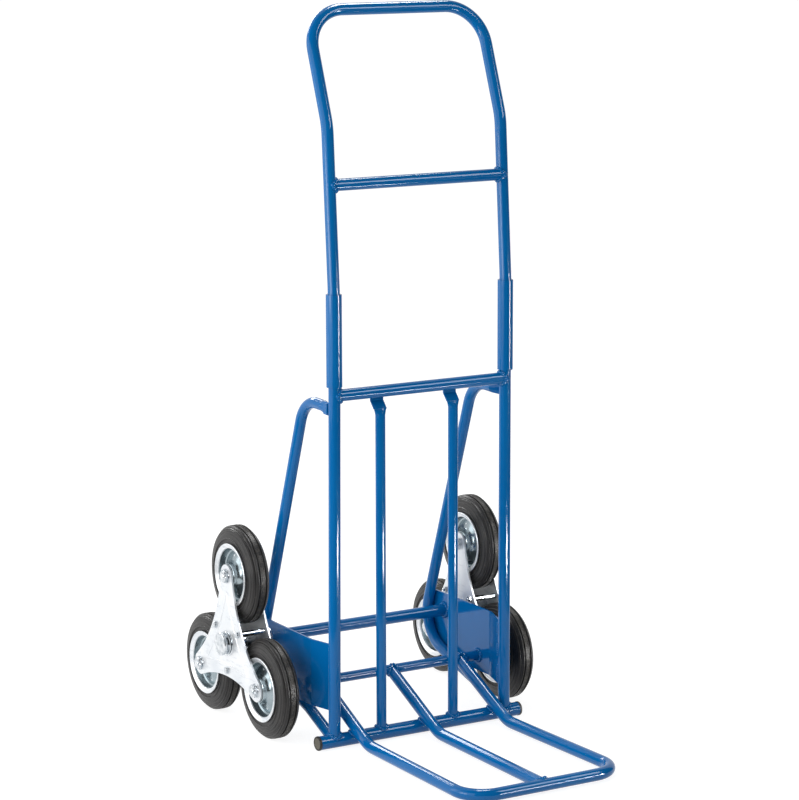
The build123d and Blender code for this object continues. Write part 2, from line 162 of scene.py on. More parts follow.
def close_finish(graph, **inputs):
    """Principled surface whose keyword arguments are its sockets, with _ for a space."""
    values = {name.replace("_", " "): value for name, value in inputs.items()}
    shader = graph.add("ShaderNodeBsdfPrincipled", None, values)
    graph.add("ShaderNodeOutputMaterial", None, {"Surface": shader})


def powder_coat():
    """Glossy blue powder coat with a faint peel and paler specks."""
    material, g = new_finish("blue_powder_coat")
    place = g.add("ShaderNodeTexCoord", out="Object")
    cloud = g.noise(place, 5.0, 3.0)
    speck = g.noise(place, 420.0, 2.0)
    peel = g.noise(place, 330.0, 2.0, 0.4)
    tone = g.mix(g.between(cloud, 0.3, 0.7), colour(1, 94, 158), colour(4, 104, 169))
    tone = g.mix(g.between(speck, 0.62, 0.8) * 0.2, tone, colour(16, 114, 180))
    rough = 0.08 + g.between(cloud, 0.35, 0.75) * 0.04
    bump = g.add("ShaderNodeBump", None, {"Strength": 0.04, "Distance": 0.0002, "Height": peel})
    close_finish(g, Base_Color=tone, Roughness=rough, Normal=bump, Specular_IOR_Level=0.27)
    return material


def zinc_sheet():
    """Bright zinc plate: pale, slightly milky, with faint rolling marks and a bluish cast in places."""
    material, g = new_finish("bright_zinc")
    place = g.add("ShaderNodeTexCoord", out="Object")
    stretched = g.add("ShaderNodeMapping", None, {"Vector": place, "Scale": (1.0, 0.35, 1.6)})
    marks = g.noise(stretched, 90.0, 4.0, 0.65)
    cloud = g.noise(place, 22.0, 3.0)
    tone = g.mix(g.between(cloud, 0.35, 0.7), colour(232, 234, 236), colour(214, 219, 224))
    tone = g.mix(g.between(marks, 0.55, 0.75) * 0.65, tone, colour(176, 183, 191))
    rough = 0.3 + g.between(marks, 0.3, 0.8) * 0.16
    bump = g.add("ShaderNodeBump", None, {"Strength": 0.1, "Distance": 0.0004, "Height": marks})
    close_finish(g, Base_Color=tone, Metallic=0.75, Roughness=rough, Normal=bump)
    return material


def plated_hardware():
    """Bright plated bolts, nuts and caps, mirror-like enough to pick up what is dark around them."""
    material, g = new_finish("plated_hardware")
    place = g.add("ShaderNodeTexCoord", out="Object")
    cloud = g.noise(place, 120.0, 3.0)
    fine = g.noise(place, 500.0, 2.0)
    tone = g.mix(g.between(cloud, 0.35, 0.7), colour(224, 227, 230), colour(176, 184, 190))
    rough = 0.09 + g.between(fine, 0.3, 0.8) * 0.1
    bump = g.add("ShaderNodeBump", None, {"Strength": 0.02, "Distance": 0.0002, "Height": fine})
    close_finish(g, Base_Color=tone, Metallic=1.0, Roughness=rough, Normal=bump)
    return material


def rim_dish_painted_shade():
    """Plated dish of a rim, glossier than the star plates; its darker blue-grey tone, against the bright zinc
    of the flange, is painted shade of the deep dish.
    """
    material, g = new_finish("rim_dish_painted_shade")
    place = g.add("ShaderNodeTexCoord", out="Object")
    cloud = g.noise(place, 30.0, 3.0)
    fine = g.noise(place, 260.0, 2.0)
    # Darker blue-grey than the flange: painted shade of the deep dish
    tone = g.mix(g.between(cloud, 0.35, 0.7), colour(164, 176, 181), colour(134, 148, 154))
    rough = 0.16 + g.between(fine, 0.3, 0.8) * 0.1
    bump = g.add("ShaderNodeBump", None, {"Strength": 0.02, "Distance": 0.0003, "Height": fine})
    close_finish(g, Base_Color=tone, Metallic=0.9, Roughness=rough, Normal=bump)
    return material


def tyre_rubber():
    """Charcoal rubber with fine moulding rings, read from the tyre's own map, paler on their crests as
    painted highlight and darker in the grooves as painted shade; pale dust in patches, and pale lines along
    the centre rib's edges that are painted highlights.
    """
    material, g = new_finish("tyre_rubber")
    place = g.add("ShaderNodeTexCoord", out="Object")
    across = g.add("ShaderNodeSeparateXYZ", None, {0: g.add("ShaderNodeUVMap", {"uv_map": "wrap"})}, out=1)
    rings = (across * 2400.0).math("SINE") * (across * 610.0).math("SINE")
    cloud = g.noise(place, 40.0, 3.0)
    grain = g.noise(place, 900.0, 2.0)
    dust = g.noise(place, 150.0, 4.0, 0.7)
    rib_edge = 0.0042
    rib = (rib_edge - across).math("MAXIMUM", across - (TYRE_WRAP - rib_edge))
    tone = g.mix(g.between(cloud, 0.3, 0.7), colour(25, 25, 26), colour(38, 37, 37))
    # Paler on the rings' crests: painted highlight on the ridges, painted shade in the grooves
    tone = g.mix(g.between(rings, 0.1, 0.8) * 0.55, tone, colour(64, 62, 60))
    # Pale lines just inside the centre rib's edges are painted highlights, broken up by the dust noise; the
    # other pale patches are dust
    rib_edge_painted_highlight = g.between(rib, 0.0, 0.0006) * g.between(dust, 0.35, 0.65) * 0.4
    dust_and_painted_highlight = g.between(dust, 0.58, 0.75) * 0.3 + rib_edge_painted_highlight
    tone = g.mix(dust_and_painted_highlight, tone, colour(104, 98, 88))
    rough = 0.33 + g.between(grain, 0.3, 0.7) * 0.12
    height = rings * 0.5 + grain * 0.4
    bump = g.add("ShaderNodeBump", None, {"Strength": 0.45, "Distance": 0.0004, "Height": height})
    close_finish(g, Base_Color=tone, Roughness=rough, Specular_IOR_Level=0.3, Normal=bump)
    return material


def moulded_plastic(name, low, high, rough):
    """Matt plastic between two tones, for caps and bushes."""
    material, g = new_finish(name)
    place = g.add("ShaderNodeTexCoord", out="Object")
    cloud = g.noise(place, 60.0, 2.0)
    grain = g.noise(place, 1200.0, 2.0)
    tone = g.mix(g.between(cloud, 0.3, 0.7), low, high)
    bump = g.add("ShaderNodeBump", None, {"Strength": 0.2, "Distance": 0.0002, "Height": grain})
    close_finish(g, Base_Color=tone, Roughness=rough + grain * 0.1, Normal=bump)
    return material


def tyre_outline():
    """Half tread, shoulder, sidewall with its moulded ridge, and bead, mirrored to a closed (x, r) line."""
    half = [(0.0, 0.0794), (0.0029, 0.0794), (0.0031, 0.0799), (0.0036, 0.0799), (0.0039, 0.0793),
            (0.0041, 0.0776), (0.0063, 0.0776), (0.0065, 0.0789), (0.0070, 0.0795), (0.0078, 0.0795)]
    ridges = {33: 0.0007, 41: -0.0004, 45: 0.0005, 61: 0.0006}
    for angle in range(17, 86, 4):
        reach = ridges.get(angle, 0.0)
        spot = radians(angle)
        half.append((0.0045 + (0.0125 - reach) * sin(spot), 0.058 + (0.022 - reach) * cos(spot) - 0.0001))
    half += [(0.0168, 0.0612), (0.0172, 0.0604), (0.0182, 0.0597), (0.0185, 0.0588), (0.0181, 0.0580),
             (0.0168, 0.0572), (0.0164, 0.0545), (0.0163, 0.0525), (0.0150, 0.0500), (0.0115, 0.0470)]
    return half + [(-x, r) for x, r in reversed(half[1:])]


def edge_lengths(outline):
    """Length of each edge of a closed (x, r) outline."""
    edges = zip(outline, outline[1:] + outline[:1])
    return [sqrt((x1 - x0) ** 2 + (r1 - r0) ** 2) for (x0, r0), (x1, r1) in edges]


TYRE_WRAP = sum(edge_lengths(tyre_outline()))  # across the tyre, its map runs from 0 to this
BLUE = powder_coat()
ZINC = zinc_sheet()
SHADED_DISH = rim_dish_painted_shade()
BRIGHT = plated_hardware()
RUBBER = tyre_rubber()
CAP = moulded_plastic("cap_plastic", colour(72, 68, 58), colour(86, 82, 70), 0.45)
CAP_EDGE = moulded_plastic("cap_edge", colour(14, 14, 14), colour(24, 23, 22), 0.4)
BUSH = moulded_plastic("bush_plastic", colour(110, 112, 112), colour(132, 134, 134), 0.4)
FINISH = {"blue_paint": BLUE, "zinc_plate": ZINC, "rim_zinc": SHADED_DISH, "tyre_rubber": RUBBER, "cap_plastic": CAP,
          "bush_plastic": BUSH}
SLOT_OF = {row["node"]: row["material_slot"] for row in frame["record"]["subparts"]}

for name, node in frame["nodes"].items():
    node.data.materials.clear()
    hardware = name.startswith(("tie_", "axle_washers", "star_hub"))
    node.data.materials.append(BRIGHT if hardware else FINISH[SLOT_OF[name]])


# ---- mesh helpers ----


def linked(name, data):
    """New object of the scene for some data."""
    thing = bpy.data.objects.new(name, data)
    bpy.context.scene.collection.objects.link(thing)
    return thing


def mesh_of(name, bm):
    """Mesh with what a bmesh holds, which it uses up."""
    mesh = bpy.data.meshes.new(name)
    bm.to_mesh(mesh)
    bm.free()
    return mesh


def full_turn(steps):
    """Angles of one turn in even steps."""
    return [2 * pi * step / steps for step in range(steps)]


def shown(name, mesh, finish, body, second=None):
    """Object for a finished mesh at the origin, riding on a body. Faces marked 1 get the second finish."""
    piece = linked(name, mesh)
    marks = [face.material_index for face in mesh.polygons]
    mesh.materials.clear()
    mesh.materials.append(finish)
    if second:
        mesh.materials.append(second)
        mesh.polygons.foreach_set("material_index", marks)
    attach(piece, body)
    return piece


def smooth(mesh, angle=35):
    mesh.shade_smooth()
    mesh.set_sharp_from_angle(angle=radians(angle))


def lathe(name, outline, centre, steps, wave=None, mark=None):
    """Closed (x, r) outline turned about X. wave(x, r, angle) may shift x, and mark(x, r) picks faces."""
    bm = bmesh.new()
    wrap = bm.loops.layers.uv.new("wrap")
    run = [0.0]
    for length in edge_lengths(outline):
        run.append(run[-1] + length)
    rings = []
    for angle in full_turn(steps):
        ring = []
        for x, r in outline:
            shift = wave(x, r, angle) if wave else 0.0
            place = Vector((centre[0] + x + shift, centre[1] + r * cos(angle), centre[2] + r * sin(angle)))
            ring.append(bm.verts.new(place))
        rings.append(ring)
    count = len(outline)
    for step in range(steps):
        here, there = rings[step], rings[(step + 1) % steps]
        for i in range(count):
            j = (i + 1) % count
            face = bm.faces.new((here[i], here[j], there[j], there[i]))
            u0, u1 = step / steps, (step + 1) / steps
            corners = ((u0, run[i]), (u0, run[i + 1]), (u1, run[i + 1]), (u1, run[i]))
            for loop, uv in zip(face.loops, corners):
                loop[wrap].uv = uv
            if mark:
                x, r = ((a + b) / 2 for a, b in zip(outline[i], outline[j]))
                face.material_index = int(mark(x, r))
    bmesh.ops.recalc_face_normals(bm, faces=bm.faces)
    mesh = mesh_of(name, bm)
    smooth(mesh)
    return mesh


def on_star(angle, radius=STAR_R):
    """(y, z) of a place on a star at rest."""
    return SHIFT + radius * cos(radians(angle)), AXLE_Z + radius * sin(radians(angle))


# ---- trees that repeat or follow ----


def tree_with(name, inputs):
    """Geometry tree with named inputs after its geometry; returns the tree, its graph and the input wires."""
    tree = bpy.data.node_groups.new(name, "GeometryNodeTree")
    tree.interface.new_socket("Geometry", in_out="INPUT", socket_type="NodeSocketGeometry")
    for label, kind in inputs.items():
        tree.interface.new_socket(label, in_out="INPUT", socket_type=kind)
    tree.interface.new_socket("Geometry", in_out="OUTPUT", socket_type="NodeSocketGeometry")
    graph = Graph(tree)
    entry = graph.add("NodeGroupInput")
    return tree, graph, {item.name: Wire(graph, item) for item in entry.socket.node.outputs if item.name}


def close_tree(graph, geometry, finish):
    """Turns copies into real mesh, gives it a finish and makes it the tree's output."""
    real = graph.add("GeometryNodeRealizeInstances", None, {0: geometry})
    painted = graph.add("GeometryNodeSetMaterial", None, {"Geometry": real, "Material": finish})
    exit_node = graph.tree.nodes.new("NodeGroupOutput")
    graph.feed(exit_node.inputs[0], painted)


def grown(name, data, tree, values):
    """Plain mesh that a geometry tree makes from data, once its named inputs are set."""
    holder = linked(name + "_seed", data)
    modifier = holder.modifiers.new("grow", "NODES")
    modifier.node_group = tree
    for item in tree.interface.items_tree:
        if item.in_out == "INPUT" and item.name in values:
            modifier[item.identifier] = values[item.name]
    graph = bpy.context.evaluated_depsgraph_get()
    mesh = bpy.data.meshes.new_from_object(holder.evaluated_get(graph))
    holder.modifiers.clear()
    bpy.data.objects.remove(holder)
    mesh.name = name
    return mesh


def bead_tree():
    """Weld bead along each curve: a round bead whose thickness ripples as the puddles overlap."""
    tree, g, given = tree_with("weld_bead", {
        "Thickness": "NodeSocketFloat",
        "Ripple": "NodeSocketFloat",
        "Depth": "NodeSocketFloat",
        "Finish": "NodeSocketMaterial",
    })
    pieces = {"Curve": given["Geometry"], "Length": 0.0006}
    fine = g.add("GeometryNodeResampleCurve", {"mode": "LENGTH"}, pieces)
    along = g.add("GeometryNodeSplineParameter", out="Length")
    wave = (along / given["Ripple"] * (2 * pi)).math("SINE")
    jitter = g.add("ShaderNodeTexNoise", None, {"Vector": g.add("GeometryNodeInputPosition"), "Scale": 160.0})
    width = given["Thickness"] * (1.0 + wave * given["Depth"]) * (0.75 + jitter * 0.5)
    ring = g.add("GeometryNodeCurvePrimitiveCircle", None, {"Resolution": 10, "Radius": 1.0})
    bead = g.add("GeometryNodeCurveToMesh", None,
                 {"Curve": fine, "Profile Curve": ring, "Scale": width, "Fill Caps": True})
    soft = g.add("GeometryNodeSetShadeSmooth", None, {"Geometry": bead, "Shade Smooth": True})
    close_tree(g, soft, given["Finish"])
    return tree


def ring_tree():
    """Copies of one object on a circle about an axis along X, each turned so its own Y points outwards."""
    tree, g, given = tree_with("ring_of_copies", {
        "Copy": "NodeSocketObject",
        "Centre": "NodeSocketVector",
        "Radius": "NodeSocketFloat",
        "Count": "NodeSocketInt",
        "Start": "NodeSocketFloat",
        "Finish": "NodeSocketMaterial",
    })
    points = g.add("GeometryNodeMeshLine", None, {"Count": given["Count"]})
    angle = given["Start"] + g.add("GeometryNodeInputIndex") * (2 * pi) / given["Count"]
    middle = g.add("ShaderNodeSeparateXYZ", None, {0: given["Centre"]})
    y = middle.out(1) + angle.math("COSINE") * given["Radius"]
    z = middle.out(2) + angle.math("SINE") * given["Radius"]
    spot = g.add("ShaderNodeCombineXYZ", None, {0: middle.out(0), 1: y, 2: z})
    placed = g.add("GeometryNodeSetPosition", None, {"Geometry": points, "Position": spot})
    turn = g.add("ShaderNodeCombineXYZ", None, {0: angle})
    shape = g.add("GeometryNodeObjectInfo", None, {"Object": given["Copy"]}, out="Geometry")
    copies = g.add("GeometryNodeInstanceOnPoints", None,
                   {"Points": placed, "Instance": shape, "Rotation": turn})
    close_tree(g, copies, given["Finish"])
    return tree


BEAD = bead_tree()
RING = ring_tree()


def moved(mesh, x):
    """The same mesh after a shift along X."""
    mesh.transform(Matrix.Translation((x, 0, 0)))
    return mesh


def ring_of(name, pattern, centre, radius, count, start, finish):
    """Copies of a pattern round an axis along X, the first one at start, in degrees from Y."""
    values = {"Copy": pattern, "Centre": centre, "Radius": radius, "Count": count, "Start": radians(start),
              "Finish": finish}
    return grown(name, bpy.data.meshes.new(name + "_empty"), RING, values)


def pattern_object(name, mesh):
    """Hidden source object for copies; removed at the end."""
    piece = linked(name, mesh)
    piece.hide_render = True
    return piece


# ---- weld beads ----


def saddle(main, main_axis, main_r, branch, branch_axis, branch_r, steps=40):
    """Closed line where a branch tube meets a main tube, on the side that the branch axis points to."""
    m, b = Vector(main_axis).normalized(), Vector(branch_axis).normalized()
    side = b.cross(m).normalized()
    flat = side.cross(b).normalized()
    line = []
    for angle in full_turn(steps):
        start = Vector(branch) + (side * cos(angle) + flat * sin(angle)) * branch_r
        gap = start - Vector(main)
        p = gap - m * gap.dot(m)
        q = b - m * b.dot(m)
        a, h, c = q.dot(q), p.dot(q), p.dot(p) - main_r**2
        inside = max(h * h - a * c, 0.0)
        line.append(start + b * ((-h + sqrt(inside)) / a))
    return line


def circle_x(x, y, z, radius, steps=32):
    """Closed line round an axis along X."""
    return [Vector((x, y + radius * cos(angle), z + radius * sin(angle))) for angle in full_turn(steps)]


def bead_curve(name, lines):
    """Curve object data with one spline for each (points, closed) line."""
    curve = bpy.data.curves.new(name, "CURVE")
    curve.dimensions = "3D"
    for points, closed in lines:
        spline = curve.splines.new("POLY")
        spline.points.add(len(points) - 1)
        for point, place in zip(spline.points, points):
            point.co = (*place, 1.0)
        spline.use_cyclic_u = closed
    return curve


def weld(name, lines, body, thickness=0.0032):
    """Beads of weld metal; none of them sinks below the floor that the foot tube stands on."""
    values = {"Thickness": thickness, "Ripple": 0.0036, "Depth": 0.18, "Finish": BLUE}
    lowest = thickness * 1.6  # ripple and noise never widen a bead to more than this
    for points, _ in lines:
        for point in points:
            point.z = max(point.z, lowest)
    mesh = grown(name, bead_curve(name, lines), BEAD, values)
    return shown(name, mesh, BLUE, body)


def at(x, y, z):
    """Place given in millimetres, with Y counted from the axle."""
    return Vector((x / 1000, y / 1000 + SHIFT, z / 1000))


ALONG_X, UP = (1, 0, 0), (0, 0, 1)
FOOT_LINE = (0, UPRIGHT_Y, FOOT_Z)
SLOPE = (0, -cos(TOE_ANGLE), -sin(TOE_ANGLE))
OFF_SLOPE = (0, -0.416, 0.909)
brace_x, brace_y, brace_z = BRACE_FOOT
frame_beads, frame_seams = [], []
for side, out in SIDES.items():
    top_x, foot_x = UPRIGHTS[side]
    frame_beads += [
        (saddle((top_x, UPRIGHT_Y, 0), UP, TUBE, (top_x, UPRIGHT_Y, UPPER_BAR_Z), (-out, 0, 0), TUBE), True),
        (saddle(FOOT_LINE, ALONG_X, FOOT, (foot_x, UPRIGHT_Y, 0), UP, TUBE), True),
        (circle_x(out * GUSSET_FACE, at(0, *LOWER_BAR).y, LOWER_BAR[1] / 1000, SLIM + 0.0008), True),
        (circle_x(out * GUSSET_FACE, SHIFT, AXLE_Z, AXLE_BEAD_R), True),
        (saddle(FOOT_LINE, ALONG_X, FOOT, at(out * brace_x, brace_y, brace_z), BRACE_RUN, BRACE), True),
    ]
    fold_x, fold_y = GUSSET_FOLD
    for low, high in GUSSET_STITCHES:
        frame_seams.append(([at(out * fold_x, fold_y, z) for z in range(low, high, 2)], False))
    for edge_x, edge_y in BRACE_TOP_EDGES:
        frame_seams.append(([at(out * edge_x, edge_y, z) for z in range(*BRACE_TOP_RISE, 2)], False))
    bar_x = INNER_BARS[side]
    bar_foot = (bar_x / 1000, UPRIGHT_Y, 0)
    frame_beads.append((saddle(FOOT_LINE, ALONG_X, FOOT, bar_foot, UP, SLIM), True))
    frame_seams.append(([at(bar_x + s, *BAR_TOP_SEAM) for s in range(-11, 12, 2)], False))
for x in TOE_BARS:
    over_foot = (x / 1000, UPRIGHT_Y, FOOT_Z)
    frame_beads += [
        (saddle(at(0, *LOWER_BAR), ALONG_X, SLIM, at(x, *LOWER_BAR), SLOPE, TUBE - 0.0006), True),
        (saddle(FOOT_LINE, ALONG_X, FOOT + 0.001, over_foot, OFF_SLOPE, 0.0055), True),
    ]
frame_beads.append((saddle(at(0, *TOE_TIP), ALONG_X, TUBE, at(-2, *TOE_TIP), (0, 1, 0), TUBE), True))
weld("frame_welds", frame_beads, "frame")
weld("frame_seams", frame_seams, "frame", 0.0021)

# The handle's legs lean back from the sockets' mouths to the bend; its crossbar meets them on the way
leg_bottom, leg_bend, leg_lean, handle_bar_z = 726, 976, 16.5, 886
leg_y = -200 + (handle_bar_z - leg_bottom) / (leg_bend - leg_bottom) * leg_lean
leg_axis = (0, leg_lean, leg_bend - leg_bottom)
handle_beads = []
for out in SIDES.values():
    joint = at(out * 156, leg_y, handle_bar_z)
    handle_beads.append((saddle(joint, leg_axis, TUBE, joint, (-out, 0, 0), TUBE), True))
weld("handle_welds", handle_beads, "handle")


# ---- wheels ----


def rim_outline():
    """Rolled flange, seat and deep dish down to the hub, on both sides."""
    half = [(0.0115, 0.0470), (0.0140, 0.0488), (0.0165, 0.0510), (0.0180, 0.0517), (0.0192, 0.0516),
            (0.0198, 0.0508), (0.0197, 0.0499), (0.0190, 0.0488), (0.0183, 0.0474), (0.0178, 0.0458),
            (0.0175, 0.0446), (0.0167, 0.0438), (0.0152, 0.0434), (0.0100, 0.0424), (0.0065, 0.0412),
            (0.0052, 0.0390), (0.0060, 0.0350), (0.0078, 0.0300), (0.0098, 0.0250), (0.0120, 0.0222),
            (0.0165, 0.0208), (0.0208, 0.0198), (0.0215, 0.0188), (0.0215, 0.0134)]
    return [(0.0, 0.0470)] + half + [(-x, r) for x, r in reversed(half)]


def pressed(x, r, angle):
    """Four shallow lobes pressed into the rim's dish."""
    middle, reach, depth = 0.034, 0.006, 0.0006
    window = max(0.0, 1.0 - ((r - middle) / reach) ** 2)
    return (1 if x > 0 else -1) * depth * window * cos(4 * angle)


def dome(radius, height, out, thick, steps=8):
    """(x, r) outline of a low dome on a thick disc."""
    tip = 0.0001
    line = [(0.0, tip), (0.0, radius)]
    for step in range(steps + 1):
        angle = pi / 2 * step / steps
        line.append((out * (thick + height * sin(angle)), max(radius * cos(angle), tip)))
    return line


def tread_bar():
    """One low transverse bar of the centre rib, few faces, its own Y outwards."""
    bm = bmesh.new()
    bmesh.ops.create_cube(bm, size=1.0)
    length, height, width = 0.0064, 0.0006, 0.0014
    for vert in bm.verts:
        x, y, z = vert.co
        shorter, slimmer = (0.94, 0.6) if y > 0 else (1, 1.0)
        vert.co = Vector((x * length * shorter, y * height, z * width * slimmer))
    return mesh_of("tread_bar", bm)


# Radii of the tread bars, the dish and the circle of rivets, and the rivets' distance from the wheel's middle
TREAD_R, DISH_R, RIVET_CIRCLE, RIVET_X = 0.0795, 0.0436, 0.030, 0.0058
TREAD_COUNT, RIVET_COUNT, RIVET_START = 132, 4, 81
bar = pattern_object("tread_bar_pattern", tread_bar())
rivets = {}
for out, which in ((-1, "in"), (1, "out")):
    rivet = lathe("rivet", dome(0.0032, 0.0017, out, 0.0006), (0, 0, 0), 16)
    rivets[out] = pattern_object(f"rivet_pattern_{which}", rivet)

for side, out in SIDES.items():
    for arm, angle in ARMS.items():
        body = f"wheel_{side}_{arm}"
        y, z = on_star(angle)
        centre = (out * WHEEL_X, y, z)
        mesh = lathe("tyre", tyre_outline(), centre, 128)
        tyre = shown(f"tyre_detail_{side}_{arm}", mesh, RUBBER, body)
        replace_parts(tyre, f"tyre_{side}_{arm}")
        mesh = ring_of(f"tread_{side}_{arm}", bar, centre, TREAD_R, TREAD_COUNT, 0, RUBBER)
        shown(f"tread_bars_{side}_{arm}", mesh, RUBBER, body)
        # Dish faces inside DISH_R take the darker finish, painted shade of the dish against the bright flange
        mesh = lathe("rim", rim_outline(), centre, 120, pressed, lambda x, r: r < DISH_R)
        rim = shown(f"rim_detail_{side}_{arm}", mesh, ZINC, body, SHADED_DISH)
        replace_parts(rim, f"rim_{side}_{arm}")
        for face in (-1, 1):
            spot = (centre[0] + face * RIVET_X, y, z)
            mesh = ring_of(f"rivets_{side}_{arm}_{face}", rivets[face], spot, RIVET_CIRCLE, RIVET_COUNT,
                           RIVET_START, ZINC)
            which = "outer" if face == out else "inner"
            shown(f"rim_rivets_{side}_{arm}_{which}", mesh, ZINC, body)


# ---- stars ----


def hex_nut(out, height, flats, bore):
    """Chamfered hexagonal nut from x = 0 outwards, made as a lathe whose radius follows the hexagon."""
    bm = bmesh.new()
    corner = flats / sqrt(3)
    steps = 48
    levels = [(0.0, 0.0), (0.0006, 1.0), (height - 0.0012, 1.0), (height, 0.0)]
    rings = []
    for x, full in levels:
        ring = []
        for angle in full_turn(steps):
            nearest = (angle + pi / 6) % (pi / 3) - pi / 6
            reach = flats / 2 / cos(nearest)
            reach = min(reach, flats / 2 + (corner - flats / 2) * (0.25 + 0.75 * full))
            if full == 0.0:
                reach = min(reach, flats / 2 * 0.985)
            ring.append(bm.verts.new((out * x, reach * cos(angle), reach * sin(angle))))
        rings.append(ring)
    for x in (height, 0.0):
        ring = [bm.verts.new((out * x, bore * cos(angle), bore * sin(angle))) for angle in full_turn(steps)]
        rings.append(ring)
    for here, there in zip(rings, rings[1:] + rings[:1]):
        for step in range(steps):
            following = (step + 1) % steps
            bm.faces.new((here[step], here[following], there[following], there[step]))
    bmesh.ops.recalc_face_normals(bm, faces=bm.faces)
    mesh = mesh_of("nut", bm)
    smooth(mesh, 25)
    return mesh


def hex_bolt(out, flats, head, shank, length):
    """Hexagon head from x = 0 inwards and a shank with a chamfered end, length long, outwards."""
    parts = [hex_nut(-out, head, flats, 0.0004)]
    line = [(0, 0.0002), (0, shank), (out * (length - 0.0011), shank), (out * length, shank - 0.0011)]
    line += [(out * length, 0.0016), (out * (length - 0.0003), 0.0010), (out * (length - 0.0003), 0.0002)]
    parts.append(lathe("shank", line, (0, 0, 0), 36))
    return joined("bolt", parts)


def joined(name, meshes):
    """One mesh made of several, which it uses up."""
    bm = bmesh.new()
    for part in meshes:
        bm.from_mesh(part)
        bpy.data.meshes.remove(part)
    return mesh_of(name, bm)


def washer(out, inner, outer, thick):
    """Flat ring from x = 0 outwards with a broken outer edge."""
    edge = 0.0003
    line = [(0, inner), (0, outer), (out * (thick - edge), outer), (out * thick, outer - edge)]
    return lathe("washer", line + [(out * thick, inner)], (0, 0, 0), 48)


# Wheel bolts start at the top arm, and tie bolts between two arms, on a smaller circle
WHEEL_START, TIE_START, TIE_CIRCLE = 90, 30, 0.045
STAR_WIDTH = PLATE_OUT - PLATE_IN
M12_FLATS, M12_HEAD, M12_R = 0.019, 0.0075, 0.0058
M6_FLATS, M6_HEAD, M6_R = 0.010, 0.0040, 0.0029
patterns = [bar, *rivets.values()]
for side, out in SIDES.items():
    body = f"star_{side}"
    nut = joined("nut", [
        washer(out, 0.0061, 0.0120, 0.0010),
        moved(hex_nut(out, 0.0055, M12_FLATS, M12_R), out * 0.001),
    ])
    wheel_bolt = hex_bolt(out, M12_FLATS, M12_HEAD, M12_R, STAR_WIDTH + 0.0080)
    tie_bolt = hex_bolt(-out, M6_FLATS, M6_HEAD, M6_R, STAR_WIDTH + 0.0070)
    hardware = (
        ("wheel_nuts", nut, PLATE_OUT, STAR_R, WHEEL_START),
        ("wheel_bolts", wheel_bolt, PLATE_IN, STAR_R, WHEEL_START),
        ("tie_bolts", tie_bolt, PLATE_OUT, TIE_CIRCLE, TIE_START),
        ("tie_nuts", hex_nut(-out, 0.005, M6_FLATS, 0.0028), PLATE_IN, TIE_CIRCLE, TIE_START),
    )
    for label, mesh, start, radius, first in hardware:
        pattern = pattern_object(f"{label}_pattern_{side}", mesh)
        patterns.append(pattern)
        ring = ring_of(label, pattern, (out * start, SHIFT, AXLE_Z), radius, 3, first, BRIGHT)
        piece = shown(f"{label}_detail_{side}", ring, BRIGHT, body)
        smooth(piece.data, 25)
        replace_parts(piece, f"{label}_{side}")

cap_line = [(0.2498, 0.0101), (0.2498, 0.0132), (0.2532, 0.0138), (0.2534, 0.0178), (0.2539, 0.0185),
            (0.2570, 0.0185), (0.2576, 0.0182), (0.2579, 0.0175), (0.2583, 0.0120), (0.2587, 0.0060),
            (0.2589, 0.0020), (0.2590, 0.0001), (0.2575, 0.0001), (0.2575, 0.0101)]
caps = joined("caps", [lathe("cap", [(out * x, r) for x, r in cap_line], (0, SHIFT, AXLE_Z), 72)
                       for out in SIDES.values()])
smooth(caps, 25)
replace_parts(shown("axle_cap_domes", caps, BRIGHT, "frame"), "axle_caps")

plug_line = [(0.0, 0.0001), (0.0, 0.0115), (0.0024, 0.0115), (0.0033, 0.0112), (0.0039, 0.0105),
             (0.0040, 0.0097), (0.0038, 0.0091), (0.0034, 0.0087), (0.0034, 0.0040), (0.0035, 0.0001)]
plug_dish = 0.0088
plugs = joined("plugs", [lathe("plug", [(end + out * x, r) for x, r in plug_line], FOOT_LINE, 64,
                               mark=lambda x, r: r > plug_dish) for end, out in zip(FOOT_ENDS, (-1, 1))])
smooth(plugs, 40)
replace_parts(shown("foot_plugs", plugs, CAP, "frame", CAP_EDGE), "foot_caps")

for side, out in SIDES.items():
    line = [(out * x, r) for x, r in ((0.2448, 0.0151), (0.2448, 0.0205), (0.2452, 0.0208), (0.2458, 0.0206),
                                      (0.2464, 0.0190), (0.2466, 0.0165), (0.2466, 0.0151))]
    collar = lathe("collar", line, (0, SHIFT, AXLE_Z), 72)
    shown(f"hub_collar_{side}", collar, BRIGHT, f"star_{side}")

for pattern in patterns:
    bpy.data.objects.remove(pattern)


# Rib pressed into each outer plate: three hollow curves that meet in a point below each wheel nut
RIB_TIP, RIB_WAIST, RIB_SUNK = 0.083, 0.0345, 0.0003
for side, out in SIDES.items():
    loop = []
    face_x = out * (PLATE_OUT - RIB_SUNK)
    for angle in ARMS.values():
        start, end = (Vector((face_x, *on_star(a, RIB_TIP))) for a in (angle, angle + 120))
        waist = Vector((face_x, *on_star(angle + 60, RIB_WAIST)))
        pull = waist * 2 - (start + end) / 2
        for t in (k / 24 for k in range(24)):
            loop.append(start * (1 - t) ** 2 + pull * 2 * t * (1 - t) + end * t**2)
    values = {"Thickness": 0.0010, "Ripple": 0.0032, "Depth": 0.0, "Finish": ZINC}
    mesh = grown(f"pressed_rib_{side}", bead_curve("rib", [(loop, True)]), BEAD, values)
    shown(f"pressed_rib_{side}", mesh, ZINC, f"star_{side}")


# ---- room, light and camera ----


def directly_seen(g):
    """1 for rays that show the stage itself, in view, in reflections and through glass; 0 for its light."""
    path = g.add("ShaderNodeLightPath")
    return path.out("Is Camera Ray").math("MAXIMUM", path.out("Is Glossy Ray")).math(
        "MAXIMUM", path.out("Is Transmission Ray"))


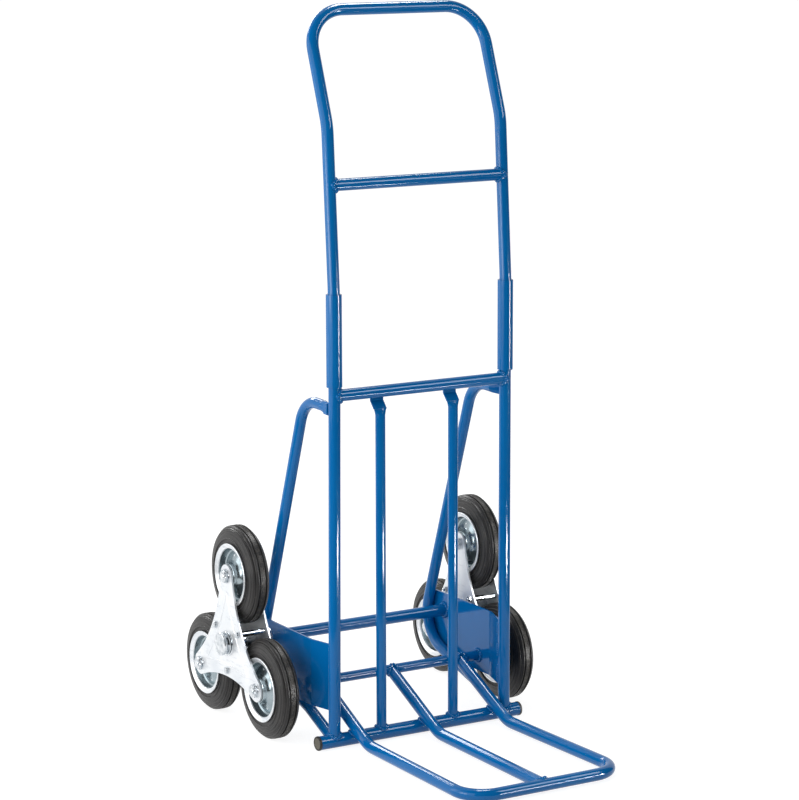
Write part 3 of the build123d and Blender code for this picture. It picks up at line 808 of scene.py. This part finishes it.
def pale_floor():
    """Floor that is seen as almost white and throws light back like plain matt paint."""
    mesh = bpy.data.meshes.new("floor")
    size = 60.0
    corners = [(-size, -size, 0), (size, -size, 0), (size, size, 0), (-size, size, 0)]
    mesh.from_pydata(corners, [], [(0, 1, 2, 3)])
    floor = linked("floor", mesh)
    material, g = new_finish("pale_floor")
    seen = directly_seen(g)
    matt = g.add("ShaderNodeBsdfDiffuse", None, {"Color": (0.8, 0.8, 0.8, 1.0)})
    faint = g.add("ShaderNodeBsdfDiffuse", None, {"Color": (0.3, 0.3, 0.3, 1.0)})
    glow = g.add("ShaderNodeEmission", None, {"Color": (1.0, 1.0, 1.0, 1.0), "Strength": 0.86})
    both = g.add("ShaderNodeAddShader", None, {0: faint, 1: glow})
    surface = g.add("ShaderNodeMixShader", None, {0: seen, 1: matt, 2: both})
    g.add("ShaderNodeOutputMaterial", None, {"Surface": surface})
    mesh.materials.append(material)


def white_room():
    """Room that is seen as white and gives a weaker even light."""
    world = bpy.data.worlds.new("white_room")
    world.use_nodes = True
    world.node_tree.nodes.clear()
    g = Graph(world.node_tree)
    seen = directly_seen(g)
    soft = g.add("ShaderNodeBackground", None, {"Color": (1.0, 1.0, 1.0, 1.0), "Strength": 0.64})
    white = g.add("ShaderNodeBackground", None, {"Color": (1.0, 1.0, 1.0, 1.0), "Strength": 1.0})
    surface = g.add("ShaderNodeMixShader", None, {0: seen, 1: soft, 2: white})
    g.add("ShaderNodeOutputWorld", None, {"Surface": surface})
    bpy.context.scene.world = world


def dark_flags(reach=4.4, near=0.85, low=0.004):
    """Dark cards and carpet on one side of the studio, which only glossy surfaces pick up."""
    bm = bmesh.new()
    steps, first_turn, sweep = 30, 155, 210
    turns = [radians(first_turn + sweep * k / steps) for k in range(steps + 1)]
    profile = [(near, low), (reach, low)]
    profile += [(reach * cos(radians(rise)), reach * sin(radians(rise))) for rise in range(6, 87, 8)]
    middle_y = 0.1
    rows = [[bm.verts.new((r * cos(turn), r * sin(turn) + middle_y, z)) for turn in turns]
            for r, z in profile]
    for here, there in zip(rows, rows[1:]):
        for k in range(steps):
            bm.faces.new((here[k], here[k + 1], there[k + 1], there[k]))
    mesh = mesh_of("dark_flags", bm)
    flags = linked("dark_flags", mesh)
    flags.visible_camera = False
    flags.visible_diffuse = False
    flags.visible_shadow = False
    material, g = new_finish("dark_cloth")
    cloth = g.add("ShaderNodeBsdfDiffuse", None, {"Color": (0.05, 0.05, 0.05, 1.0)})
    g.add("ShaderNodeOutputMaterial", None, {"Surface": cloth})
    mesh.materials.append(material)


def softbox(name, place, target, width, height, power, fills=True):
    """Rectangular lamp aimed at a target. Without fills, only glossy surfaces show it."""
    light = bpy.data.lights.new(name, "AREA")
    light.shape = "RECTANGLE"
    light.size = width
    light.size_y = height
    light.energy = power
    lamp = linked(name, light)
    lamp.location = place
    lamp.rotation_euler = (Vector(target) - Vector(place)).to_track_quat("-Z", "Y").to_euler()
    lamp.visible_camera = False
    lamp.visible_diffuse = fills


def build_camera():
    """Long lens from the front left, a little above the handle."""
    data = bpy.data.cameras.new("camera")
    data.sensor_fit = "HORIZONTAL"
    data.sensor_width = 36.0
    data.lens = 129.45041
    data.clip_end = 200.0
    camera = linked("camera", data)
    azimuth, height, roll = radians(30.731), radians(10.415), radians(-0.159)
    back = Vector((-sin(azimuth) * cos(height), -cos(azimuth) * cos(height), sin(height)))
    right = (-back).cross(Vector((0, 0, 1))).normalized()
    up = right.cross(-back)
    right, up = right * cos(roll) + up * sin(roll), up * cos(roll) - right * sin(roll)
    turn = Matrix((right, up, back)).transposed().to_4x4()
    camera.matrix_world = Matrix.Translation((-2.2920, -3.7936, 1.3548)) @ turn
    bpy.context.scene.camera = camera


pale_floor()
white_room()
dark_flags()
softbox("window_left", (-2.4, 0.2, 1.25), (0, 0.1, 1.2), 4.6, 2.3, 62)
softbox("low_right", (2.15, -2.5, 0.32), (0, 0.1, 0.6), 0.35, 0.6, 56, False)
softbox("key_right", (1.25, -1.55, 1.75), (0, 0, 0.1), 0.9, 0.7, 23, False)
softbox("overhead", (0.5, 0.5, 2.4), (0, 0, 0), 0.6, 0.8, 38, False)
softbox("strip_left", (-2.25, -0.2, 0.63), (0, 0.1, 1.0), 1.2, 0.5, 14, False)
softbox("back_top", (0.0, 2.8, 1.9), (0, 0, 0.5), 1.6, 0.5, 30)
softbox("front_low", (0.45, -0.95, 0.02), (0.0, 0.0, 0.8), 0.5, 0.15, 14, False)
build_camera()
bpy.context.scene.view_settings.view_transform = "Standard"
